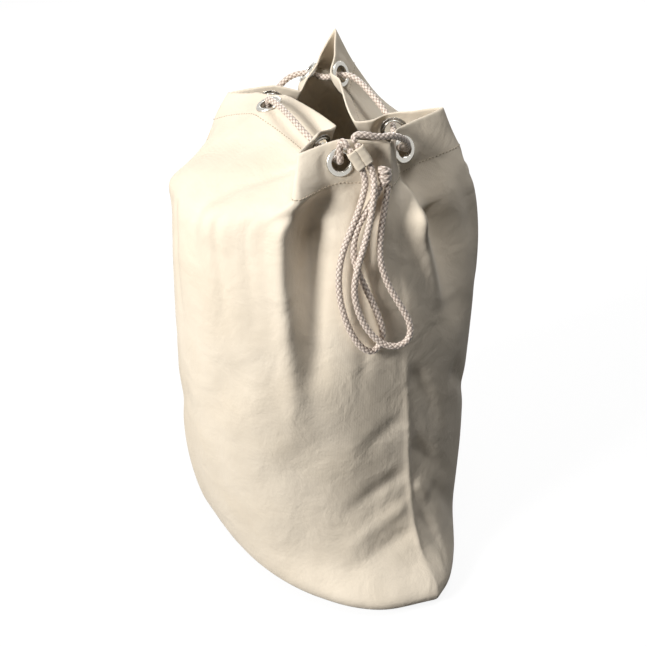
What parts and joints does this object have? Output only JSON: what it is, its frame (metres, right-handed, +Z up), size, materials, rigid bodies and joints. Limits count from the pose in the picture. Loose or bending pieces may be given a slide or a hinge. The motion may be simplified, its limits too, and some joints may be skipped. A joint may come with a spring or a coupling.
{
  "type": "drawstring laundry bag",
  "caption": "Flat-bottomed canvas laundry bag with a wide hem, metal eyelets and a threaded drawstring gathered in a two-channel keeper.",
  "frame": {"origin": "point on the bag's flat base, in the middle of the bottom seam", "axes": "+Z up through the mouth, +X towards the near side seam with the cord keeper, -Y towards the front panel"},
  "size_m": [0.4487, 0.3579, 0.5689],
  "materials": {
    "canvas": "matte natural cotton canvas",
    "thread": "matte cotton thread",
    "cord": "glossy round braided cord",
    "eyelet_metal": "worn bright nickel plate"
  },
  "bodies": {
    "bag": {"front_panel": "canvas", "back_panel": "canvas", "front_hem_band": "canvas", "back_hem_band": "canvas", "near_seam_allowance": "canvas", "far_seam_allowance": "canvas", "bottom_seam_allowance": "canvas", "front_hem_stitching": "thread", "back_hem_stitching": "thread", "near_seam_stitching": "thread", "far_seam_stitching": "thread", "bottom_seam_stitching": "thread", "eyelet_1": "eyelet_metal", "eyelet_2": "eyelet_metal", "eyelet_3": "eyelet_metal", "eyelet_4": "eyelet_metal", "eyelet_5": "eyelet_metal", "eyelet_6": "eyelet_metal", "eyelet_7": "eyelet_metal", "eyelet_8": "eyelet_metal", "eyelet_washer_1": "eyelet_metal", "eyelet_washer_2": "eyelet_metal", "eyelet_washer_3": "eyelet_metal", "eyelet_washer_4": "eyelet_metal", "eyelet_washer_5": "eyelet_metal", "eyelet_washer_6": "eyelet_metal", "eyelet_washer_7": "eyelet_metal", "eyelet_washer_8": "eyelet_metal", "drawstring": "cord"},
    "tail_bunch": {"cord_tail_a": "cord", "cord_tail_b": "cord", "end_knot": "cord"},
    "keeper": {"cord_keeper": "canvas", "keeper_stitching": "thread"}
  },
  "joints": [
    {"name": "tail_swing", "type": "hinge", "parent": "bag", "child": "tail_bunch", "pos_m": [0.0956, -0.0415, 0.5166], "axis": [-0.1211, -0.8626, -0.4911], "range_deg": [0, 45]},
    {"name": "keeper_slide", "type": "slide", "parent": "tail_bunch", "child": "keeper", "axis": [0.3452, 0.4273, -0.8356], "range_m": [0, 0.004]}
  ]
}
